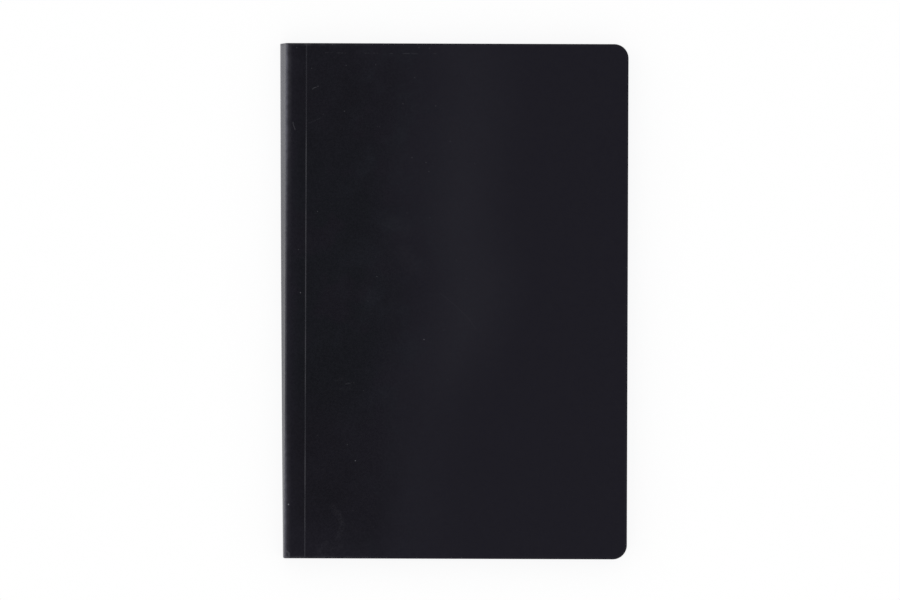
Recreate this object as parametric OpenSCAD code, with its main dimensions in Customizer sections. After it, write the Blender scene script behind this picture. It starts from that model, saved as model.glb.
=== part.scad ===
/* [Cover] */
// Height of the notebook, from foot to head
book_h = 228.6; // [150:0.1:300]
// Width of each cover panel, from the hinge score to the fore-edge
panel_w = 142.9; // [100:0.1:200]
// Thickness of the cover card
cover_t = 0.55; // [0.4:0.05:0.8]
// Radius of the two rounded corners at the fore-edge
corner_r = 6.35; // [2:0.05:20]

/* [Hinge scores] */
// Width of the strip from the score to the front shoulder, which is glued to the pages
hinge_w = 9.2; // [6:0.1:15]
// Width of the pressed groove
score_w = 0.6; // [0.4:0.05:1]
// Depth of the pressed groove
score_d = 0.18; // [0.05:0.01:0.25]

/* [Back of the book] */
// Outer radius of the cover's fold at the front shoulder
front_fold_r = 0.95; // [0.9:0.05:2]
// Outer radius of the cover's fold at the rear shoulder
rear_fold_r = 1.6; // [1:0.05:2.5]
// How far the rear shoulder stands out past the front one at the head
lean_head = 2.8; // [0:0.1:4]
// How far the rear shoulder stands out past the front one at the foot
lean_foot = 0.7; // [0:0.1:4]

/* [Pages] */
// Thickness of one leaf
leaf_t = 0.1; // [0.06:0.005:0.16]
// Number of leaves in each sewn section
section_leaves = 8; // [4:2:16]
// Number of sewn sections
sections = 12; // [6:1:20]
// Depth of the notch between the folds of two sections
notch_d = 0.2; // [0.05:0.01:0.3]

/* [Glue] */
// Thickness of the glue between the section folds and the cover
back_glue_t = 0.4; // [0.2:0.05:0.8]
// Thickness of the glue film under each hinge strip
side_glue_t = 0.1; // [0.05:0.01:0.3]

/* [Hidden] */

$fn = 64;
over = 5;
// How far each section is pressed into the one below it
grip = 0.01;

section_t = leaf_t * section_leaves;
block_t = section_t * sections;
book_t = block_t + 2 * (side_glue_t + cover_t);

// The wider end of the back and the fore-edge are equally far from the origin
lean_max = max(lean_head, lean_foot);
fore_x = (panel_w + hinge_w + lean_max) / 2;
score_x = fore_x - panel_w;
front_shoulder_x = score_x - hinge_w;
rear_shoulder_x = [for (lean = [lean_foot, lean_head]) front_shoulder_x - lean];

front_fold_z = book_t - front_fold_r;
rear_fold_z = rear_fold_r;

score_nose_r = (pow(score_w / 2, 2) + pow(score_d, 2)) / (2 * score_d);
fold_nose_r = (pow(section_t / 2, 2) + pow(notch_d, 2)) / (2 * notch_d);

// Set-back of the cover's inner face inside a fold, at a height dz from the fold's centre
function fold_x(r, dz) = r - sqrt(max(0, pow(r - cover_t, 2) - pow(dz, 2)));

// Inner face of the cover's back at height z, at the foot (end 0) or the head (end 1)
function wall_x(z, end) =
    z < rear_fold_z ? rear_shoulder_x[end] + fold_x(rear_fold_r, z - rear_fold_z)
    : z > front_fold_z ? front_shoulder_x + fold_x(front_fold_r, z - front_fold_z)
    : cover_t + rear_shoulder_x[end]
        + (front_shoulder_x - rear_shoulder_x[end]) * (z - rear_fold_z) / (front_fold_z - rear_fold_z);

// Outermost line of a section's fold, which leaves room for the glue
function fold_tip_x(low_z, end) =
    back_glue_t + max([for (step = [0:0.25:1]) wall_x(low_z + section_t * step, end)]);

// Round bar along the book's height, through one place at the foot and one at the head
module bar(r, foot_x, head_x, z) {
    slant = atan2(head_x - foot_x, book_h);
    translate([(foot_x + head_x) / 2, 0, z])
        rotate([-90, 0, -slant])
            cylinder(r = r, h = book_h + 4 * over, center = true);
}

// Everything between the foot and the head of the book
module trim_slab() {
    translate([-fore_x - over, -book_h / 2, -over])
        cube([2 * (fore_x + over), book_h, book_t + 2 * over]);
}

// Form of the book's back inside the given depth of card, as far as right_x
module back_form(depth, right_x) {
    long = book_h + 2 * over;
    left_x = front_shoulder_x + front_fold_r;
    hull() {
        bar(front_fold_r - depth, left_x, left_x, front_fold_z);
        bar(rear_fold_r - depth, rear_shoulder_x[0] + rear_fold_r, rear_shoulder_x[1] + rear_fold_r,
            rear_fold_z);
        translate([left_x, -long / 2, depth])
            cube([right_x - left_x, long, book_t - 2 * depth]);
    }
}

// What the corner cutter takes off a square corner at the origin, pointing to +X and +Y
module corner_waste() {
    translate([-corner_r, -corner_r])
        difference() {
            square(corner_r + over);
            circle(corner_r);
        }
}

// The two cut corners at the fore-edge
module fore_corners() {
    for (side = [0, 1])
        mirror([0, side])
            translate([fore_x, book_h / 2])
                corner_waste();
}

// Groove that the scoring rule presses into the outer face of the rear cover
module score_groove() {
    bar(score_nose_r, score_x, score_x, score_d - score_nose_r);
}

// Cover panel that lies on the ground, with its outer face down
module cover_panel() {
    difference() {
        linear_extrude(cover_t)
            difference() {
                translate([score_x, -book_h / 2])
                    square([panel_w, book_h]);
                fore_corners();
            }
        score_groove();
    }
}

// Turns what is made at the rear cover over to the front cover
module to_front() {
    translate([0, 0, book_t])
        mirror([0, 0, 1])
            children();
}

module front_cover() {
    color("#1e1d23")
        to_front()
            cover_panel();
}

module back_cover() {
    color("#1e1d23")
        cover_panel();
}

// Middle of the cover sheet: hinge strip, shoulder, back, shoulder and hinge strip
module cover_spine() {
    color("#26262b")
        difference() {
            intersection() {
                back_form(0, score_x);
                trim_slab();
            }
            back_form(cover_t, score_x + over);
            score_groove();
            to_front()
                score_groove();
        }
}

// One sewn section: its leaves, and the round edge of its fold along the back
module section(i, length) {
    low_z = cover_t + side_glue_t + i * section_t;
    pressed = i > 0 ? grip : 0;
    foot_x = fold_tip_x(low_z, 0) + fold_nose_r;
    head_x = fold_tip_x(low_z, 1) + fold_nose_r;
    rise = (head_x - foot_x) / book_h * length / 2;
    middle_x = (foot_x + head_x) / 2;
    intersection() {
        union() {
            translate([0, 0, low_z - pressed])
                linear_extrude(section_t + pressed)
                    difference() {
                        polygon([
                            [middle_x - rise, -length / 2],
                            [fore_x, -length / 2],
                            [fore_x, length / 2],
                            [middle_x + rise, length / 2]
                        ]);
                        fore_corners();
                    }
            bar(fold_nose_r, foot_x, head_x, low_z + section_t / 2);
        }
        translate([-fore_x - over, -length / 2, low_z - pressed])
            cube([2 * (fore_x + over), length, section_t + pressed]);
    }
}

// The sections piled up between the covers, as long as they are cut
module section_pile(length) {
    for (i = [0:sections - 1])
        section(i, length);
}

module page_block() {
    color("#efe9da")
        section_pile(book_h);
}

// Glue round the folds and under both hinge strips, up to the scores
module spine_glue() {
    color("#e6dcc0")
        difference() {
            intersection() {
                back_form(cover_t, score_x - score_w / 2);
                trim_slab();
            }
            section_pile(book_h + 2 * over);
        }
}

front_cover();
back_cover();
cover_spine();
page_block();
spine_glue();
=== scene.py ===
# A black softcover notebook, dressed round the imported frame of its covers, spine, pages and glue.
# Lengths in the sections are in millimetres, and turn into metres where a mesh is made.
import math
import random

import bmesh
import bpy
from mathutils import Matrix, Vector


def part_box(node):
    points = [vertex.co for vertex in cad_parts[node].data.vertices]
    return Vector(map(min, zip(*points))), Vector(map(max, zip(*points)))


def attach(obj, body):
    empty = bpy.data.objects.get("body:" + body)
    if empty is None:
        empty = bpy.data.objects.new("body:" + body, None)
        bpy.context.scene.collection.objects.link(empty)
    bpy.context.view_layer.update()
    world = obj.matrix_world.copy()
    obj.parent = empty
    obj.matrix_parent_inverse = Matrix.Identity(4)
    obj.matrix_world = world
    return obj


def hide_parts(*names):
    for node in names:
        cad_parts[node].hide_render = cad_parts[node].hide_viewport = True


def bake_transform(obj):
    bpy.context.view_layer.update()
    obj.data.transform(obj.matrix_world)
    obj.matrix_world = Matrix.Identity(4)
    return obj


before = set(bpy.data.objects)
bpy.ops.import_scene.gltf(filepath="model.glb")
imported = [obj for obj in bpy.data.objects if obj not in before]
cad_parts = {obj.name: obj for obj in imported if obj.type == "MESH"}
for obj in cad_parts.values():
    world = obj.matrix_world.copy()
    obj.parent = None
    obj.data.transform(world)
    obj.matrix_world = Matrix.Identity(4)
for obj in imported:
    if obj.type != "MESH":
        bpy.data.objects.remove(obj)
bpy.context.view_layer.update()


# Pages
# 96 leaves of uncoated ivory paper, folded into 12 sections of 8 leaves and sewn through the folds.
# The pile is trimmed with its covers on, so its edges are flush with them and share their round corners.
METRE = 0.001
page_low, page_high = (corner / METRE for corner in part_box("page_block"))
foot_y, head_y, fore_x = page_low.y, page_high.y, page_high.x
book_h = head_y - foot_y
cover_low, cover_high = (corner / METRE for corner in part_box("front_cover"))
score_x, book_t = cover_low.x, cover_high.z
cover_t = cover_high.z - cover_low.z

leaf_t = 0.1
section_leaves = 8
section_t = leaf_t * section_leaves
leaf_count = round((page_high.z - page_low.z) / leaf_t)
corner_r = 6.35
hinge_w = 9.2
front_fold_r = 0.95
rear_fold_r = 1.6
lean_foot = 0.7
lean_head = 2.7
back_bow = 0.2
back_glue_t = 0.4
notch_d = 0.2
leaf_gap_d = 0.035
leaf_gap_t = 0.02
leaf_slip = 0.03
section_slip = 0.02

front_shoulder_x = score_x - hinge_w
front_fold_z = book_t - front_fold_r
fold_nose_r = (section_t ** 2 / 4 + notch_d ** 2) / (2 * notch_d)


def lean_at(y):
    """How far the rear shoulder stands out past the front one, at a height y of the book."""
    up = (y - foot_y) / book_h
    return lean_foot + (lean_head - lean_foot) * up + back_bow * math.sin(math.pi * up)


def card_inner_x(z, y):
    """Inner face of the card behind the folds of the sections."""
    rear_x = front_shoulder_x - lean_at(y)
    if z < rear_fold_r:
        reach = (rear_fold_r - cover_t) ** 2 - (z - rear_fold_r) ** 2
        return rear_x + rear_fold_r - math.sqrt(max(0, reach))
    if z > front_fold_z:
        reach = (front_fold_r - cover_t) ** 2 - (z - front_fold_z) ** 2
        return front_shoulder_x + front_fold_r - math.sqrt(max(0, reach))
    rise = (z - rear_fold_r) / (front_fold_z - rear_fold_r)
    return cover_t + rear_x + (front_shoulder_x - rear_x) * rise


def section_fold_x(section, z, y):
    """Round outer edge of a section's fold at the height z."""
    low_z = page_low.z + section * section_t
    quarters = [low_z + section_t * step / 4 for step in range(5)]
    tip_x = back_glue_t + max(card_inner_x(quarter, y) for quarter in quarters)
    off_middle = z - low_z - section_t / 2
    return tip_x + fold_nose_r - math.sqrt(max(0, fold_nose_r ** 2 - off_middle ** 2))


def leaf_outline(section, z, inset):
    """One leaf's outline, from the foot round the fore-edge to the head and down the fold."""
    side_steps, corner_steps = 10, 12
    fold_foot_x = section_fold_x(section, z, foot_y)
    fold_head_x = section_fold_x(section, z, head_y)
    straight_x = fore_x - corner_r
    points = []
    for step in range(side_steps):
        points.append((fold_foot_x + (straight_x - fold_foot_x) * step / side_steps, foot_y + inset))
    for step in range(corner_steps + 1):
        turn = math.pi / 2 * step / corner_steps
        points.append((straight_x + (corner_r - inset) * math.sin(turn),
                       foot_y + corner_r - (corner_r - inset) * math.cos(turn)))
    for step in range(1, side_steps):
        points.append((fore_x - inset, foot_y + corner_r + (book_h - 2 * corner_r) * step / side_steps))
    for step in range(corner_steps + 1):
        turn = math.pi / 2 * step / corner_steps
        points.append((straight_x + (corner_r - inset) * math.cos(turn),
                       head_y - corner_r + (corner_r - inset) * math.sin(turn)))
    for step in range(1, side_steps):
        points.append((straight_x + (fold_head_x - straight_x) * step / side_steps, head_y - inset))
    for step in range(side_steps):
        down = step / side_steps
        points.append((fold_head_x + (fold_foot_x - fold_head_x) * down,
                       head_y - inset - (book_h - 2 * inset) * down))
    return [(x, y, z) for x, y in points]


def add_piece(name, points, faces, finishes, from_edge=None, soft_angle=32):
    """Makes a closed mesh from points in millimetres, and keeps each point's own place for the materials.
    faces is a list of (corners, finish number)."""
    mesh = bpy.data.meshes.new(name)
    places = [[value * METRE for value in point] for point in points]
    mesh.from_pydata(places, [], [corners for corners, _ in faces])
    mesh.polygons.foreach_set("material_index", [finish for _, finish in faces])
    place = mesh.attributes.new("rest_place", "FLOAT_VECTOR", "POINT")
    place.data.foreach_set("vector", [value for point in points for value in point])
    if from_edge:
        mesh.attributes.new("from_edge", "FLOAT", "POINT").data.foreach_set("value", from_edge)
    shaped = bmesh.new()
    shaped.from_mesh(mesh)
    bmesh.ops.recalc_face_normals(shaped, faces=shaped.faces)
    shaped.to_mesh(mesh)
    shaped.free()
    mesh.shade_smooth()
    mesh.set_sharp_from_angle(angle=math.radians(soft_angle))
    for finish in finishes:
        mesh.materials.append(finish)
    piece = bpy.data.objects.new(name, mesh)
    bpy.context.scene.collection.objects.link(piece)
    return piece


def put(tree, kind, inputs=None, **options):
    """Adds a shader node, sets its options, and fills or links its inputs."""
    node = tree.nodes.new("ShaderNode" + kind)
    for option, value in options.items():
        setattr(node, option, value)
    for socket, value in (inputs or {}).items():
        if isinstance(value, bpy.types.NodeSocket):
            tree.links.new(value, node.inputs[socket])
        else:
            node.inputs[socket].default_value = value
    return node


def maths(tree, operation, first, *others):
    """A Math node's result, or that of a chain of them for more than two values."""
    if not others:
        return put(tree, "Math", {0: first}, operation=operation).outputs[0]
    for value in others:
        first = put(tree, "Math", {0: first, 1: value}, operation=operation).outputs[0]
    return first


def ramp(tree, value, start, end, low=0.0, high=1.0):
    """Rises smoothly from low at start to high at end, and stays level outside."""
    inputs = {"Value": value, "From Min": start, "From Max": end, "To Min": low, "To Max": high}
    return put(tree, "MapRange", inputs, interpolation_type="SMOOTHSTEP").outputs["Result"]


def between(tree, share, low, high):
    """Goes smoothly from low, where the share is 0, to high, where it is 1."""
    return ramp(tree, share, 0.0, 1.0, low, high)


def mix_colour(tree, share, first, second):
    """The first colour, with the share of the second mixed in."""
    return put(tree, "Mix", {0: share, 6: first, 7: second}, data_type="RGBA").outputs[2]


def stain(tree, tone, colour, mask, share):
    """The tone, stained with the share of a colour where the mask is full."""
    return mix_colour(tree, maths(tree, "MULTIPLY", mask, share), tone, colour)


def noise(tree, place, scale, detail, roughness=0.5, distortion=0.0):
    """Cloudy noise from 0 to 1, with the scale in patches per millimetre."""
    node = put(tree, "TexNoise", {"Vector": place, "Scale": scale, "Detail": detail})
    node.inputs["Roughness"].default_value = roughness
    node.inputs["Distortion"].default_value = distortion
    return node.outputs["Fac"]


def bump(tree, height, strength, distance):
    """The normal of a surface that stands out by a height from 0 to 1, times a distance in millimetres."""
    node = put(tree, "Bump", {"Height": height, "Strength": strength, "Distance": distance * METRE})
    return node.outputs["Normal"]


def own_place(tree):
    """Where a point lies on the notebook at rest, in millimetres."""
    return put(tree, "Attribute", attribute_name="rest_place").outputs["Vector"]


def place_parts(tree, place):
    """The x, y and z of a place."""
    return put(tree, "SeparateXYZ", {0: place}).outputs


def new_group(name, inputs, outputs):
    """An effect that materials share: a node group with its inputs and outputs."""
    group = bpy.data.node_groups.new(name, "ShaderNodeTree")
    for label, kind in inputs:
        group.interface.new_socket(label, in_out="INPUT", socket_type="NodeSocket" + kind)
    for label, kind in outputs:
        group.interface.new_socket(label, in_out="OUTPUT", socket_type="NodeSocket" + kind)
    return group, group.nodes.new("NodeGroupInput").outputs, group.nodes.new("NodeGroupOutput").inputs


def place_group(tree, group, inputs):
    """Places a shared effect in a material with that material's own values."""
    return put(tree, "Group", inputs, node_tree=group).outputs


def new_finish(name, roughness, ior):
    """A material with one Principled shader, whose constants sit on its own sockets."""
    finish = bpy.data.materials.new(name)
    finish.use_nodes = True
    shader = finish.node_tree.nodes["Principled BSDF"]
    shader.inputs["Roughness"].default_value = roughness
    shader.inputs["IOR"].default_value = ior
    return finish, finish.node_tree, shader.inputs


def fill_finish(tree, shader, tone, roughness, normal):
    """Links what changes over the surface to the shader."""
    tree.links.new(tone, shader["Base Color"])
    tree.links.new(roughness, shader["Roughness"])
    tree.links.new(normal, shader["Normal"])


# Fine random grain of calendered paper and card, and the cloudiness of its pulp, from 0 to 1
cloud_to_grain = 0.04
grain_window = (0.25, 0.75)
cloud_window = (0.3, 0.7)
grain, given, made = new_group(
    "paper grain", [("Place", "Vector"), ("Grain Size", "Float")], [("Grain", "Float"), ("Cloud", "Float")])
grain_scale = maths(grain, "DIVIDE", 1.0, given["Grain Size"])
cloud_scale = maths(grain, "MULTIPLY", grain_scale, cloud_to_grain)
fine = noise(grain, given["Place"], grain_scale, detail=3.0, roughness=0.6)
cloud = noise(grain, given["Place"], cloud_scale, detail=2.0)
grain.links.new(ramp(grain, fine, *grain_window), made["Grain"])
grain.links.new(ramp(grain, cloud, *cloud_window), made["Cloud"])

# Short, thin, curled fibres that lie in the face of the sheet, from 0 to 1
fibre_half_w = 0.012
breaks_to_fibre = 1.7
breaks_window = (0.52, 0.62)
fibres, given, made = new_group(
    "paper fibres", [("Place", "Vector"), ("Fibre Length", "Float")], [("Fibres", "Float")])
fibre_scale = maths(fibres, "DIVIDE", 1.0, given["Fibre Length"])
breaks_scale = maths(fibres, "MULTIPLY", fibre_scale, breaks_to_fibre)
curl = noise(fibres, given["Place"], fibre_scale, detail=1.0, distortion=1.8)
breaks = noise(fibres, given["Place"], breaks_scale, detail=2.0)
off_line = maths(fibres, "ABSOLUTE", maths(fibres, "SUBTRACT", curl, 0.5))
line = ramp(fibres, off_line, 0.0, fibre_half_w, low=1.0, high=0.0)
fibres.links.new(maths(fibres, "MULTIPLY", line, ramp(fibres, breaks, *breaks_window)), made["Fibres"])

ivory = (0.82, 0.78, 0.68, 1)
ivory_deep = (0.74, 0.69, 0.58, 1)
fibre_tan = (0.6, 0.53, 0.41, 1)
# Painted shade for the gaps between sections on the trimmed page edges
painted_gap_shade = (0.42, 0.38, 0.31, 1)

page_face, tree, shader = new_finish("ivory page face", roughness=0.85, ior=1.4)
place = own_place(tree)
weave = place_group(tree, grain, {"Place": place, "Grain Size": 0.45})
flecks = place_group(tree, fibres, {"Place": place, "Fibre Length": 2.2})["Fibres"]
tone = stain(tree, ivory, ivory_deep, weave["Cloud"], share=0.12)
tone = stain(tree, tone, ivory_deep, weave["Grain"], share=0.16)
tone = stain(tree, tone, fibre_tan, flecks, share=0.22)
tooth = bump(tree, weave["Grain"], strength=0.35, distance=0.02)
fill_finish(tree, shader, tone, between(tree, weave["Grain"], low=0.78, high=0.92), tooth)


def own_tone(tree, number):
    """A random value from 0 to 1 for each leaf or section that the number counts."""
    whole = maths(tree, "FLOOR", number)
    return put(tree, "TexWhiteNoise", {"W": whole}, noise_dimensions="1D").outputs["Value"]


# Each leaf and each section has a tone of its own, and the gap between two sections is darkened with painted
# shade
painted_gap_shade_window = (0.42, 0.5)
handled_window = (0.5, 0.75, 0.0, 0.12)
page_edge, tree, shader = new_finish("trimmed page edges", roughness=0.9, ior=1.4)
place = own_place(tree)
up_pile = maths(tree, "SUBTRACT", place_parts(tree, place)["Z"], page_low.z)
leaf_number = maths(tree, "DIVIDE", up_pile, leaf_t)
section_number = maths(tree, "DIVIDE", leaf_number, float(section_leaves))
off_middle = maths(tree, "ABSOLUTE", maths(tree, "SUBTRACT", maths(tree, "FRACT", section_number), 0.5))
handled = ramp(tree, noise(tree, place, scale=0.12, detail=3.0), *handled_window)
weave = place_group(tree, grain, {"Place": place, "Grain Size": 0.3})
leaf_tone = own_tone(tree, leaf_number)
tone = stain(tree, ivory, ivory_deep, leaf_tone, share=0.5)
tone = stain(tree, tone, ivory_deep, own_tone(tree, section_number), share=0.3)
tone = stain(tree, tone, ivory_deep, weave["Grain"], share=0.2)
tone = mix_colour(tree, handled, tone, fibre_tan)
tone = stain(tree, tone, painted_gap_shade, ramp(tree, off_middle, *painted_gap_shade_window), share=0.45)
tooth = bump(tree, weave["Grain"], strength=0.4, distance=0.02)
fill_finish(tree, shader, tone, between(tree, leaf_tone, low=0.82, high=0.95), tooth)

leaf_seed = 96
leaf_draw = random.Random(leaf_seed)
flat_face, trimmed_edge = 0, 1
page_points = []
page_faces = []
for leaf in range(leaf_count):
    section = leaf // section_leaves
    if leaf % section_leaves == 0:
        slip = leaf_draw.uniform(0, section_slip)
    inset = slip + leaf_draw.uniform(0, leaf_slip)
    low_z = page_low.z + leaf * leaf_t
    if leaf == 0:
        page_points += leaf_outline(section, low_z, inset + leaf_gap_t)
    page_points += leaf_outline(section, low_z + leaf_gap_t, inset)
    page_points += leaf_outline(section, low_z + leaf_t - leaf_gap_t, inset)
    top_inset = leaf_gap_t if leaf == leaf_count - 1 else leaf_gap_d
    page_points += leaf_outline(section, low_z + leaf_t, inset + top_inset)
ring = len(leaf_outline(0, page_low.z, 0))
for start in range(0, len(page_points) - ring, ring):
    for corner in range(ring):
        after = (corner + 1) % ring
        quad = (start + corner, start + after, start + ring + after, start + ring + corner)
        page_faces.append((quad, trimmed_edge))
page_faces.append((tuple(range(ring)), flat_face))
page_faces.append((tuple(range(len(page_points) - ring, len(page_points))), flat_face))
page_leaves = add_piece("page_leaves", page_points, page_faces, [page_face, page_edge])
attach(page_leaves, "book")
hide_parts("page_block")


# Glue
# Dry, slightly yellow dispersion glue, which holds the folds and both hinge strips to the card.
# It shows at the head and foot only, in the notches between the sections. The solid itself is kept.
glue_cream = (0.72, 0.66, 0.5, 1)
glue_amber = (0.56, 0.45, 0.26, 1)
bubble_scale = 3.2
bubble_rim = (0.1, 0.22, 1.0, 0.0)

dry_glue, tree, shader = new_finish("dry binding glue", roughness=0.45, ior=1.48)
in_metres = put(tree, "TexCoord").outputs["Object"]
place = put(tree, "VectorMath", {0: in_metres, "Scale": 1 / METRE}, operation="SCALE").outputs[0]
skin = place_group(tree, grain, {"Place": place, "Grain Size": 0.35})
bubbles = put(tree, "TexVoronoi", {"Vector": place, "Scale": bubble_scale}).outputs["Distance"]
bubble_rims = ramp(tree, bubbles, *bubble_rim)
tone = mix_colour(tree, skin["Cloud"], glue_cream, glue_amber)
tone = stain(tree, tone, glue_amber, bubble_rims, share=0.4)
blister = bump(tree, maths(tree, "ADD", skin["Grain"], bubble_rims), strength=0.5, distance=0.03)
fill_finish(tree, shader, tone, between(tree, skin["Grain"], low=0.35, high=0.6), blister)
spine_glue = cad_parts["spine_glue"]
spine_glue.data.materials.clear()
spine_glue.data.materials.append(dry_glue)


# Spine wrap
# The middle of the one sheet of black card: hinge strip, front shoulder, back, rear shoulder, hinge strip.
# Satin-coated outside and dyed through, it is folded round the pages and glued down as far as both scores.
edge_r = 0.08
edge_steps = 4
joint_gap = 0.9
roll_w = 3.0
roll_foot = 0.26
roll_head = 0.36
roll_middle = 0.2
bruise_reach = 2.6
bruise_d = 0.22
bruise_inward = 0.6
bruise_down = 0.7
near_rows = (edge_r, 0.25, 0.7, 1.5, 2.8, 4.6, 7.0)
row_spacing = 5.5
outside, cut_edge, inside = 0, 1, 2


def card_rows():
    """Places of the rows from foot to head, closer together near the two cut edges."""
    inner_foot, inner_head = foot_y + near_rows[-1], head_y - near_rows[-1]
    count = round((inner_head - inner_foot) / row_spacing)
    middle = [inner_foot + (inner_head - inner_foot) * step / count for step in range(count + 1)]
    return [foot_y + near for near in near_rows[:-1]] + middle + [head_y - near for near in near_rows[-2::-1]]


def sheet_of_card(name, outer, inner, cut_side, from_edge):
    """Closes two faces, given as columns of places from foot to head, into one sheet with soft cut edges.
    cut_side(column, row) is the outward direction at a cut edge, or None where the sheet runs on."""
    columns, rows = len(outer), len(outer[0])
    around = [(column, 0) for column in range(columns)]
    around += [(columns - 1, row) for row in range(1, rows)]
    around += [(column, rows - 1) for column in range(columns - 2, -1, -1)]
    around += [(0, row) for row in range(rows - 2, 0, -1)]
    points = [place for column in outer for place in column] + [place for column in inner for place in column]
    edges = [from_edge(place) for place in points]
    half = columns * rows
    faces = []
    for column in range(columns - 1):
        for row in range(rows - 1):
            first = column * rows + row
            quad = (first, first + rows, first + rows + 1, first + 1)
            faces.append((quad, outside))
            faces.append((tuple(half + corner for corner in reversed(quad)), inside))
    rings = [[column * rows + row for column, row in around]]
    for side in (0, 1):
        for step in range(1 - side, edge_steps + 1 - side):
            turn = math.pi / 2 * (step if side == 0 else edge_steps - step) / edge_steps
            here = []
            for column, row in around:
                face = Vector(outer[column][row] if side == 0 else inner[column][row])
                other = Vector(inner[column][row] if side == 0 else outer[column][row])
                through = (other - face).normalized()
                out = Vector(cut_side(column, row) or (0, 0, 0))
                here.append(len(points))
                rounded = out * edge_r * math.sin(turn) + through * edge_r * (1 - math.cos(turn))
                points.append(tuple(face + rounded))
                edges.append(0.0)
            rings.append(here)
    rings.append([half + column * rows + row for column, row in around])
    for count, (first, second) in enumerate(zip(rings, rings[1:])):
        finish = outside if count < 2 else cut_edge
        for corner in range(len(around)):
            after = (corner + 1) % len(around)
            faces.append(((first[corner], first[after], second[after], second[corner]), finish))
    return add_piece(name, points, faces, [cover_face, cover_cut, cover_inside], edges)


def fold_profile(y, depth):
    """The card's section at height y of the book, from the rear score round the back to the front score.
    depth is 0 for the outer face and the card's thickness for the inner one."""
    strip_steps, fold_steps, back_steps = 8, 14, 8
    rear_x = front_shoulder_x - lean_at(y) + rear_fold_r
    front_x = front_shoulder_x + front_fold_r
    apart = Vector((front_x - rear_x, front_fold_z - rear_fold_r))
    tilt = math.atan2(apart.y, apart.x) + math.acos((rear_fold_r - front_fold_r) / apart.length)
    joint_x = score_x - joint_gap
    points = []
    for step in range(strip_steps):
        points.append((joint_x + (rear_x - joint_x) * step / strip_steps, depth))
    for step in range(fold_steps + 1):
        turn = 1.5 * math.pi + (tilt - 1.5 * math.pi) * step / fold_steps
        reach = rear_fold_r - depth
        points.append((rear_x + reach * math.cos(turn), rear_fold_r + reach * math.sin(turn)))
    below, above = (
        Vector((x + (r - depth) * math.cos(tilt), z + (r - depth) * math.sin(tilt)))
        for x, z, r in ((rear_x, rear_fold_r, rear_fold_r), (front_x, front_fold_z, front_fold_r)))
    for step in range(1, back_steps):
        points.append(tuple(below.lerp(above, step / back_steps)))
    for step in range(fold_steps + 1):
        turn = tilt + (0.5 * math.pi - tilt) * step / fold_steps
        reach = front_fold_r - depth
        points.append((front_x + reach * math.cos(turn), front_fold_z + reach * math.sin(turn)))
    for step in range(1, 2 * strip_steps + 1):
        points.append((front_x + (joint_x - front_x) * step / (2 * strip_steps), book_t - depth))
    return points


def wrap_point(x, y, z, depth):
    """Rolls the outer face off towards the front shoulder, and bruises the corner at the foot."""
    if depth == 0:
        up = (y - foot_y) / book_h
        roll = roll_foot + (roll_head - roll_foot) * up
        roll += (roll_middle - roll) * math.sin(math.pi * up) ** 2
        toward = max(0, (front_shoulder_x + roll_w - x) / roll_w)
        on_top = min(1, max(0, (z - book_t / 2) / (book_t / 2)))
        z -= roll * toward ** 3 * on_top
    corner = Vector((x - front_shoulder_x, y - foot_y, z - book_t)).length
    bruise = bruise_d * max(0, 1 - corner / bruise_reach) ** 2
    return (x + bruise * bruise_inward, y, z - bruise * bruise_down)


def from_trimmed_edge(place):
    """Distance of a place from the nearest cut edge of the cover."""
    x, y, _ = place
    over_x, over_y = x - (fore_x - corner_r), abs(y) - (head_y - corner_r)
    if over_x > 0 and over_y > 0:
        return corner_r - math.hypot(over_x, over_y)
    return min(head_y - abs(y), fore_x - x)


# A scratch, speck, scuff or smudge between two places, added to the marks before it
mark, given, made = new_group(
    "surface mark",
    [("Before", "Float"), ("Place", "Vector"), ("Start", "Vector"), ("End", "Vector"),
     ("Half Width", "Float"), ("Softness", "Float"), ("Strength", "Float")],
    [("After", "Float")])
along = put(mark, "VectorMath", {0: given["End"], 1: given["Start"]}, operation="SUBTRACT").outputs[0]
to_point = put(mark, "VectorMath", {0: given["Place"], 1: given["Start"]}, operation="SUBTRACT").outputs[0]
ahead = put(mark, "VectorMath", {0: to_point, 1: along}, operation="DOT_PRODUCT").outputs["Value"]
whole = put(mark, "VectorMath", {0: along, 1: along}, operation="DOT_PRODUCT").outputs["Value"]
share = put(mark, "Clamp", {"Value": maths(mark, "DIVIDE", ahead, whole)}).outputs[0]
nearest = put(mark, "VectorMath", {0: along, "Scale": share}, operation="SCALE").outputs[0]
off = put(mark, "VectorMath", {0: to_point, 1: nearest}, operation="DISTANCE").outputs["Value"]
fade_end = maths(mark, "ADD", given["Half Width"], given["Softness"])
near = ramp(mark, off, given["Half Width"], fade_end, low=1.0, high=0.0)
seen = maths(mark, "MULTIPLY", near, given["Strength"])
mark.links.new(maths(mark, "MAXIMUM", given["Before"], seen), made["After"])

sheen_blue = (0.87, 0.87, 1, 1)
card_black = (0.0081, 0.0072, 0.0122, 1)
# Painted light on the cover's face: the next two colours are painted shade, and the two after them painted
# sheen
painted_shade_deep = (0.0046, 0.0051, 0.0079, 1)
painted_shade_dusk = (0.0053, 0.0046, 0.008, 1)
painted_sheen_bright = (0.0115, 0.0108, 0.0162, 1)
painted_sheen_blue = (0.0086, 0.01, 0.0147, 1)
card_core = (0.014, 0.013, 0.015, 1)
# Lighter grey of rubbed places, which on the cut edges and the front fold is partly painted highlight
rubbed_and_highlight_grey = (0.06, 0.059, 0.066, 1)
# Bluish grey of painted sheen, for the back behind the front fold, the lower shoulder and the front fold's
# ridge
painted_spine_sheen = (0.18, 0.18, 0.225, 1)
dust_grey = (0.2, 0.2, 0.215, 1)
inside_black = (0.024, 0.023, 0.026, 1)
inside_fibre = (0.06, 0.057, 0.058, 1)

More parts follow.
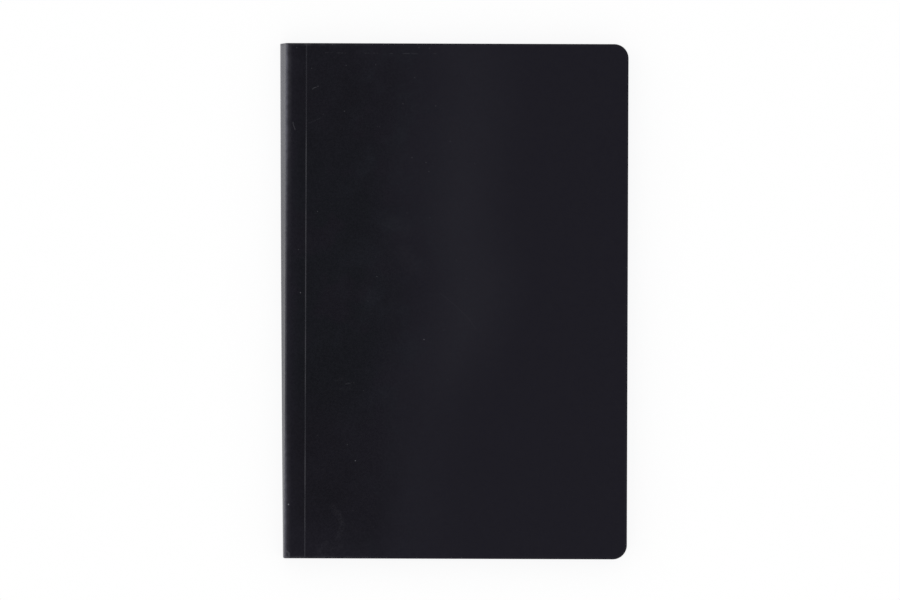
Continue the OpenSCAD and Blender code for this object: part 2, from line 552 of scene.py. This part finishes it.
# Half width, softness and strength of each kind of mark
mark_looks = {
    "fibre": (0.03, 0.26, 0.13), "scratch": (0.02, 0.26, 0.13), "hairline": (0.01, 0.2, 0.035),
    "scuff": (0.04, 0.24, 0.055), "speck": (0.08, 0.24, 0.16), "faint speck": (0.08, 0.24, 0.07),
    "clear speck": (0.1, 0.24, 0.35), "bright speck": (0.16, 0.26, 0.6), "dust streak": (0.05, 0.8, 0.06),
    "faint streak": (0.05, 1.0, 0.028),
    "smudge": (0.2, 6.0, 0.018), "crescent": (0.2, 2.0, 0.04), "worn corner": (0.15, 0.5, 0.13),
}
# Each mark: its kind, and places along it as distances from the front score and from the head
card_marks = [
    ("fibre", (2.7, 20.4), (3.3, 19.9), (3.9, 19.7), (4.4, 19.6)), ("fibre", (5.0, 19.3), (5.3, 19.1)),
    ("scratch", (-5.9, 35.2), (-5.6, 36.6), (-4.9, 38.4)),
    ("hairline", (1.1, 35.4), (3.4, 34.6), (6.2, 33.3)),
    ("hairline", (59.6, 110.7), (66.7, 116.4), (72.1, 121.7), (75.6, 126.6)),
    ("scuff", (8.3, 4.3), (22.0, 4.4)), ("scuff", (25.8, 4.4), (31.5, 4.4)),
    ("scuff", (35.9, 4.5), (39.1, 4.5)), ("scuff", (42.8, 4.5), (50.5, 4.6)),
    ("scuff", (56.6, 4.5), (57.5, 4.5)),
    ("clear speck", (22.3, 185.2)), ("clear speck", (52.6, 131.3)), ("clear speck", (-2.3, 110.7)),
    ("bright speck", (-7.3, 204.7)),
    ("dust streak", (17.7, 151.2), (21.5, 150.9)), ("faint streak", (13.5, 149.6), (16.4, 148.9)),
    ("faint streak", (15.5, 153.3), (20.4, 153.1)), ("smudge", (37.3, 80.1), (43.5, 82.3)),
    ("smudge", (42.7, 92.6), (48.0, 98.7)), ("smudge", (8.0, 226.4), (14.5, 224.4)),
    ("crescent", (9.4, 221.8), (6.8, 225.3)),
    ("crescent", (12.7, 205.6), (15.3, 209.3), (16.4, 213.7), (14.6, 218.9)),
    ("worn corner", (-8.3, 225.3), (-7.0, 226.4), (-6.9, 228.2), (-8.2, 228.0)),
]
speck_places = [
    (-4.3, 2.0), (49.9, 1.8), (54.6, 2.2), (17.6, 9.8), (30.7, 9.5), (2.3, 11.2), (48.0, 15.2), (42.9, 26.7),
    (57.4, 27.7), (16.9, 30.2), (63.9, 43.4), (47.0, 50.7), (53.2, 52.8), (54.5, 56.8), (5.1, 74.7),
    (-3.2, 91.6), (31.6, 103.4), (18.7, 178.1),
]
faint_places = [
    (7.5, 31.6), (74.8, 53.2), (44.8, 75.2), (55.0, 77.2), (66.9, 96.2), (71.1, 104.4), (61.4, 127.1),
    (27.7, 114.3), (63.1, 149.0), (5.6, 174.1), (21.3, 207.4), (25.8, 154.2), (31.6, 37.0), (32.6, 37.0),
]
card_marks += [("speck", speck) for speck in speck_places]
card_marks += [("faint speck", speck) for speck in faint_places]

# Limits of the zones of painted sheen and painted shade: start, end, and the share at each. They are in
# millimetres from the front score (left, right) or from the head (head, foot). A drift slants a zone, by
# millimetres sideways at the foot.
zone_wander = 24.0
deep_left = (-8.5, -1.5, 0.25, 1.0)
deep_right = (20.0, 52.0, 1.0, 0.0)
deep_head = (0.0, 25.0, 0.7, 1.0)
deep_foot = (198.0, 230.0, 1.0, 0.35)
deep_drift = (120.0, 185.0, 0.0, 5.0)
bright_left = (44.0, 72.0, 0.0, 1.0)
bright_right = (70.0, 102.0, 1.0, 0.0)
bright_head = (0.0, 75.0, 0.62, 1.0)
bright_foot = (125.0, 170.0, 1.0, 0.22)
bright_drift = (125.0, 185.0, 0.0, 23.0)
dusk_head = (20.0, 75.0, 0.7, 0.0)
dusk_foot = (145.0, 175.0, 0.0, 1.0)
dusk_cloud = (0.55, 0.9, 0.0, 1.0)
blue_sheen_left = (5.0, 32.0, 0.15, 1.0)
blue_sheen_right = (35.0, 75.0, 1.0, 0.0)
blue_sheen_foot = (140.0, 180.0, 1.0, 0.4)
blue_sheen_patches = (0.44, 0.7, 0.0, 0.55)
grain_fade = (5.0, 60.0, 0.26, 0.08)
cloud_fade = (10.0, 60.0, 0.2, 0.0)

# Limits of the wear, in the same form: from the score, a cut edge, the front shoulder, the head or the table
score_band = (0.06, 0.3, 1.0, 0.0)
score_head = (30.0, 46.0, 0.0, 1.0)
score_patches = (0.35, 0.6, 0.1, 0.55)
edge_band = (0.1, 1.5, 1.0, 0.0)
edge_right = (5.0, 45.0, 1.0, 0.25)
edge_patches = (0.35, 0.7, 0.1, 0.35)
fold_head = (20.0, 115.0, 1.0, 0.2)
fold_foot = (140.0, 200.0, 0.0, 0.8)
fold_height = (book_t - 3.0, book_t - 1.0, 0.0, 1.0)
fold_band = (0.3, 3.4, 1.0, 0.0)
fold_patches = (0.3, 0.7, 0.25, 0.4)
ridge_band = (0.1, 1.5, 1.0, 0.0)
ridge_side = (-0.3, 0.1, 0.0, 1.0)
ridge_patches = (0.3, 0.7, 0.22, 0.4)
behind_band = (-0.35, 0.15, 1.0, 0.0)
back_head = (0.0, 130.0, 0.22, 0.05)
back_patches = (0.3, 0.7, 0.7, 1.15)
shoulder_low = (0.9, 1.5, 0.0, 1.0)
shoulder_high = (2.2, 3.4, 1.0, 0.0)
back_gloss = (0.0, 90.0, -0.05, 0.06)
wear_roughness = 0.5
dash_window = (0.46, 0.54)
streak_window = (0.45, 0.6)
wisp_window = (0.35, 0.75)


def zone(tree, *limits):
    """A zone that fades at its limits, each given as what is measured and the limit itself."""
    shares = [ramp(tree, measured, *limit) for measured, limit in limits]
    return maths(tree, "MULTIPLY", *shares)


def swing(tree, share, reach):
    """Swings to both sides of 0, by half the reach, with a share from 0 to 1."""
    return maths(tree, "MULTIPLY", maths(tree, "SUBTRACT", share, 0.5), reach)


cover_face, tree, shader = new_finish("satin black cover face", roughness=0.34, ior=1.43)
shader["Specular Tint"].default_value = sheen_blue
place = own_place(tree)
parts = place_parts(tree, place)
from_score = maths(tree, "SUBTRACT", parts["X"], score_x)
from_head = maths(tree, "SUBTRACT", head_y, parts["Y"])
weave = place_group(tree, grain, {"Place": place, "Grain Size": 0.8})

# Painted shade and painted sheen in the colour: deep and dusky zones of painted shade, a brighter zone of
# painted sheen and patches of painted bluish sheen, with the card's grain over them
drift = noise(tree, place, scale=0.022, detail=2.0)
zone_x = maths(tree, "ADD", from_score, swing(tree, drift, zone_wander))
deep_x = maths(tree, "ADD", zone_x, ramp(tree, from_head, *deep_drift))
bright_x = maths(tree, "ADD", zone_x, ramp(tree, from_head, *bright_drift))
blue_sheen_noise = noise(tree, place, scale=0.075, detail=6.0, roughness=0.62)
painted_shade_zone = zone(
    tree, (from_score, deep_left), (deep_x, deep_right), (from_head, deep_foot), (from_head, deep_head))
painted_dusk_share = maths(
    tree, "MAXIMUM", ramp(tree, from_head, *dusk_foot), ramp(tree, from_head, *dusk_head),
    ramp(tree, weave["Cloud"], *dusk_cloud))
painted_sheen_zone = zone(
    tree, (bright_x, bright_left), (bright_x, bright_right),
    (from_head, bright_foot), (from_head, bright_head))
painted_blue_sheen_share = zone(
    tree, (from_score, blue_sheen_left), (zone_x, blue_sheen_right), (from_head, blue_sheen_foot), (blue_sheen_noise, blue_sheen_patches))
tone = mix_colour(tree, painted_shade_zone, card_black, mix_colour(tree, painted_dusk_share, painted_shade_deep, painted_shade_dusk))
tone = mix_colour(tree, painted_sheen_zone, tone, painted_sheen_bright)
tone = mix_colour(tree, painted_blue_sheen_share, tone, painted_sheen_blue)
grain_swing = swing(tree, weave["Grain"], ramp(tree, zone_x, *grain_fade))
cloud_swing = swing(tree, weave["Cloud"], ramp(tree, zone_x, *cloud_fade))
brightness = maths(tree, "ADD", grain_swing, cloud_swing, 1.0)
tone = put(tree, "VectorMath", {0: tone, "Scale": brightness}, operation="SCALE").outputs[0]

# Rubbed places and painted highlight: the score is rubbed, the cut edges and the fold at the front shoulder
# are lighter partly from rubbing and partly as painted highlight, and the back and the lower shoulder take
# painted bluish sheen
score_off = maths(tree, "ABSOLUTE", from_score)
score_worn = noise(tree, place, scale=0.06, detail=3.0)
edge_off = put(tree, "Attribute", attribute_name="from_edge").outputs["Fac"]
wear_and_sheen_patches = noise(tree, place, scale=0.35, detail=4.0)
back_patch_noise = noise(tree, place, scale=1.1, detail=5.0, roughness=0.7)
fold_off = maths(tree, "SUBTRACT", parts["X"], front_shoulder_x)
fold_ends = maths(tree, "MAXIMUM", ramp(tree, from_head, *fold_head), ramp(tree, from_head, *fold_foot))
fold_ends = maths(tree, "MULTIPLY", fold_ends, ramp(tree, parts["Z"], *fold_height))
behind_fold = ramp(tree, fold_off, *behind_band)
score_line = zone(tree, (score_off, score_band), (score_worn, score_patches), (from_head, score_head))
edge_wear_and_highlight = zone(tree, (edge_off, edge_band), (wear_and_sheen_patches, edge_patches), (from_score, edge_right))
fold_wear_and_highlight = maths(tree, "MULTIPLY", fold_ends, zone(tree, (fold_off, fold_band), (wear_and_sheen_patches, fold_patches)))
rubbed_and_highlight = maths(tree, "MAXIMUM", edge_wear_and_highlight, score_line, fold_wear_and_highlight)
tone = mix_colour(tree, rubbed_and_highlight, tone, rubbed_and_highlight_grey)
# Painted bluish sheen, a little patchy, on the back, on the lower shoulder and along the front fold's ridge
painted_back_sheen = zone(tree, (from_head, back_head), (back_patch_noise, back_patches))
tone = stain(tree, tone, painted_spine_sheen, behind_fold, painted_back_sheen)
painted_shoulder_sheen = zone(tree, (parts["Z"], shoulder_low), (parts["Z"], shoulder_high), (wear_and_sheen_patches, fold_patches))
tone = stain(tree, tone, painted_spine_sheen, behind_fold, painted_shoulder_sheen)
painted_ridge_sheen = zone(tree, (fold_off, ridge_band), (wear_and_sheen_patches, ridge_patches), (fold_off, ridge_side))
tone = stain(tree, tone, painted_spine_sheen, fold_ends, painted_ridge_sheen)

# Every mark adds to the dust of those before it
dashes = noise(tree, place, scale=0.55, detail=1.0)
wisps = noise(tree, place, scale=0.8, detail=5.0, roughness=0.75)
wispy = ramp(tree, wisps, *wisp_window)
broken_up = {"scuff": ramp(tree, dashes, *dash_window), "dust streak": ramp(tree, wisps, *streak_window),
             "faint streak": wispy, "smudge": wispy, "crescent": wispy}
dust = 0.0
for kind, *spots in card_marks:
    half_width, softness, strength = mark_looks[kind]
    if kind in broken_up:
        strength = maths(tree, "MULTIPLY", broken_up[kind], strength)
    ends = [(score_x + across, head_y - down, book_t) for across, down in spots]
    for start, end in zip(ends, ends[1:] or ends):
        values = {"Before": dust, "Place": place, "Start": start, "End": end, "Half Width": half_width,
                  "Softness": softness, "Strength": strength}
        dust = place_group(tree, mark, values)["After"]
tone = mix_colour(tree, dust, tone, dust_grey)
satin = between(tree, weave["Grain"], low=0.31, high=0.38)
worn_dull = maths(tree, "MULTIPLY", maths(tree, "MAXIMUM", dust, rubbed_and_highlight), wear_roughness)
back_dull = maths(tree, "MULTIPLY", behind_fold, ramp(tree, from_head, *back_gloss))
pores = bump(tree, weave["Grain"], strength=0.25, distance=0.01)
fill_finish(tree, shader, tone, maths(tree, "ADD", satin, worn_dull, back_dull), pores)

cover_cut, tree, shader = new_finish("cut edge of the black card", roughness=0.8, ior=1.4)
place = own_place(tree)
weave = place_group(tree, grain, {"Place": place, "Grain Size": 0.12})
flecks = place_group(tree, fibres, {"Place": place, "Fibre Length": 0.7})["Fibres"]
tone = stain(tree, card_core, inside_black, weave["Grain"], share=0.5)
tone = stain(tree, tone, inside_fibre, flecks, share=0.5)
tooth = bump(tree, weave["Grain"], strength=0.5, distance=0.02)
fill_finish(tree, shader, tone, between(tree, weave["Grain"], low=0.7, high=0.9), tooth)

cover_inside, tree, shader = new_finish("uncoated inside of the black card", roughness=0.8, ior=1.4)
place = own_place(tree)
weave = place_group(tree, grain, {"Place": place, "Grain Size": 0.4})
flecks = place_group(tree, fibres, {"Place": place, "Fibre Length": 1.8})["Fibres"]
tone = stain(tree, inside_black, card_core, weave["Cloud"], share=0.3)
tone = stain(tree, tone, card_core, weave["Grain"], share=0.35)
tone = stain(tree, tone, inside_fibre, flecks, share=0.45)
tooth = bump(tree, weave["Grain"], strength=0.4, distance=0.02)
fill_finish(tree, shader, tone, between(tree, weave["Grain"], low=0.72, high=0.88), tooth)

rows = card_rows()
wrap_faces = []
for depth in (0, cover_t):
    sections_of_card = [[wrap_point(x, y, z, depth) for x, z in fold_profile(y, depth)] for y in rows]
    wrap_faces.append([list(column) for column in zip(*sections_of_card)])


def wrap_side(column, row):
    """The wrap is cut at the foot and the head, and runs on into a cover at both scores."""
    return (0, -1, 0) if row == 0 else (0, 1, 0) if row == len(rows) - 1 else None


spine_wrap = sheet_of_card("spine_wrap", wrap_faces[0], wrap_faces[1], wrap_side, from_trimmed_edge)
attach(spine_wrap, "book")
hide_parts("cover_spine")


# Covers
# Two panels of the same sheet of card, which open on grooves that a scoring rule has pressed into it.
# Their two corners at the fore-edge are cut round. The real sheet bends along the bottom of each groove.
groove_half_w = 0.26
groove_d = 0.08
ridge_d = 0.03
bend_half_w = 0.5
bend_step = 0.05
lead_in = 0.7
plain_columns = (0.6, 0.75, 1.0, 1.5, 2.5, 4.0, 6.5, 10.0)
column_spacing = 8.5
corner_columns = 16


def cover_columns():
    """Columns from the joint with the spine wrap to the fore-edge: each one's x and its reach up and down."""
    bends = round(2 * bend_half_w / bend_step)
    offsets = [-joint_gap, -lead_in] + [-bend_half_w + bend_step * step for step in range(bends + 1)]
    offsets += list(plain_columns)
    last_plain = plain_columns[-1]
    straight = fore_x - corner_r - score_x - last_plain
    count = round(straight / column_spacing)
    offsets += [last_plain + straight * step / count for step in range(1, count + 1)]
    columns = [(score_x + offset, head_y - edge_r, 0.0) for offset in offsets]
    reach = corner_r - edge_r
    for step in range(1, corner_columns + 1):
        turn = math.pi / 2 * step / corner_columns
        x = fore_x - corner_r + reach * math.sin(turn)
        columns.append((x, head_y - corner_r + reach * math.cos(turn), turn))
    return columns


def groove_at(offset):
    """Depth of the pressed groove, with soft lips, at a distance from its middle."""
    share = min(1, abs(offset) / groove_half_w)
    return groove_d * (1 - share ** 2) ** 2


def make_cover(name, node, is_front):
    """One flat panel with its groove, made in place of the imported cover part, which is hidden."""
    columns = cover_columns()
    reach = head_y - edge_r
    outer, inner = [], []
    for x, up, _ in columns:
        groove = groove_at(x - score_x)
        ridge = groove * ridge_d / groove_d
        outer_z, inner_z = book_t - groove, book_t - cover_t - ridge
        if not is_front:
            outer_z, inner_z = book_t - outer_z, book_t - inner_z
        outer.append([(x, y * up / reach, outer_z) for y in rows])
        inner.append([(x, y * up / reach, inner_z) for y in rows])

    def panel_side(column, row):
        turn = columns[column][2]
        if row in (0, len(rows) - 1):
            return (math.sin(turn), math.cos(turn) * (-1 if row == 0 else 1), 0)
        return (1, 0, 0) if column == len(columns) - 1 else None

    cover = sheet_of_card(name, outer, inner, panel_side, from_trimmed_edge)
    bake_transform(cover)
    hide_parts(node)


make_cover("front_cover_sheet", "front_cover", True)
make_cover("back_cover_sheet", "back_cover", False)


# Table, light and camera
# A plain white table top under soft studio light, seen from straight above through a long lens.
# The table is a clear film on the room's white, shaded where the notebook stands over it, so that
# a back cover which has swung down past it is seen as well. Lengths here are in metres.
table_half_w = 12.0
table_squares = 4
table_z = -0.00002
table_white = (0.997, 0.997, 0.997, 1)
pure_white = (1, 1, 1, 1)
tooth_scale = 40.0
shadow_reach = 0.03
shadow_samples = 8
shadow_tone = (0.88, 0.88, 0.89, 1)
# The room's brightness from one height to another, as sines of the elevation, and at each
wall_rise = (0.3, 0.85, 0.42, 0.075)
horizon_rise = (0.06, 0.28, 1.0, 0.0)
room_light = (0.8, 0.8, 0.8, 1)
camera_place = (-0.0014, 0.00053, 2.7)
camera_roll = 0.0035
camera_lens = 242.48
camera_sensor = 36.0
box_tilt = 50.0
box_distance = 2.6
box_size = (2.6, 1.5)
# Each soft box: its side, as degrees round the table from the fore-edge, and its power in watts
soft_boxes = [("soft box right", 0, 14.0), ("soft box left", 180, 14.0), ("soft box foot", 270, 5.0)]

table_mesh = bpy.data.meshes.new("table_top")
table_form = bmesh.new()
bmesh.ops.create_grid(table_form, x_segments=table_squares, y_segments=table_squares, size=table_half_w)
table_form.to_mesh(table_mesh)
table_form.free()
table_top = bpy.data.objects.new("table_top", table_mesh)
table_top.location.z = table_z
bpy.context.scene.collection.objects.link(table_top)
table_finish = bpy.data.materials.new("white table top")
table_finish.use_nodes = True
tree = table_finish.node_tree
tree.nodes.clear()
table_tooth = put(tree, "TexNoise", {"Scale": tooth_scale, "Detail": 3.0}).outputs["Fac"]
table_tone = mix_colour(tree, table_tooth, table_white, pure_white)
open_sky = put(tree, "AmbientOcclusion", {"Distance": shadow_reach}, samples=shadow_samples).outputs["AO"]
film = put(tree, "BsdfTransparent", {"Color": mix_colour(tree, open_sky, shadow_tone, table_tone)})
below = put(tree, "NewGeometry").outputs["Backfacing"]
see_through = put(tree, "BsdfTransparent")
top = put(tree, "MixShader", {0: below, 1: film.outputs[0], 2: see_through.outputs[0]})
put(tree, "OutputMaterial", {"Surface": top.outputs[0]})
table_mesh.materials.append(table_finish)

room = bpy.data.worlds.new("studio room")
bpy.context.scene.world = room
room.use_nodes = True
tree = room.node_tree
rays = put(tree, "LightPath").outputs
shown_rays = maths(tree, "MAXIMUM", rays["Is Camera Ray"], rays["Is Glossy Ray"], rays["Is Transmission Ray"])
height = place_parts(tree, put(tree, "TexCoord").outputs["Generated"])["Z"]
shown = maths(tree, "MAXIMUM", ramp(tree, height, *wall_rise), ramp(tree, height, *horizon_rise))
tree.links.new(mix_colour(tree, shown_rays, room_light, shown), tree.nodes["Background"].inputs["Color"])

for name, side, power in soft_boxes:
    lamp = bpy.data.lights.new(name, "AREA")
    lamp.shape = "RECTANGLE"
    lamp.size, lamp.size_y = box_size
    lamp.energy = power
    soft_box = bpy.data.objects.new(name, lamp)
    out, up = math.sin(math.radians(box_tilt)), math.cos(math.radians(box_tilt))
    turn = math.radians(side)
    soft_box.location = Vector((out * math.cos(turn), out * math.sin(turn), up)) * box_distance
    soft_box.rotation_euler = (-soft_box.location).to_track_quat("-Z", "Y").to_euler()
    bpy.context.scene.collection.objects.link(soft_box)

lens = bpy.data.cameras.new("camera")
lens.lens = camera_lens
lens.sensor_width = camera_sensor
camera = bpy.data.objects.new("camera", lens)
camera.location = camera_place
camera.rotation_euler = (0, 0, camera_roll)
bpy.context.scene.collection.objects.link(camera)
bpy.context.scene.camera = camera
bpy.context.scene.view_settings.view_transform = "Standard"
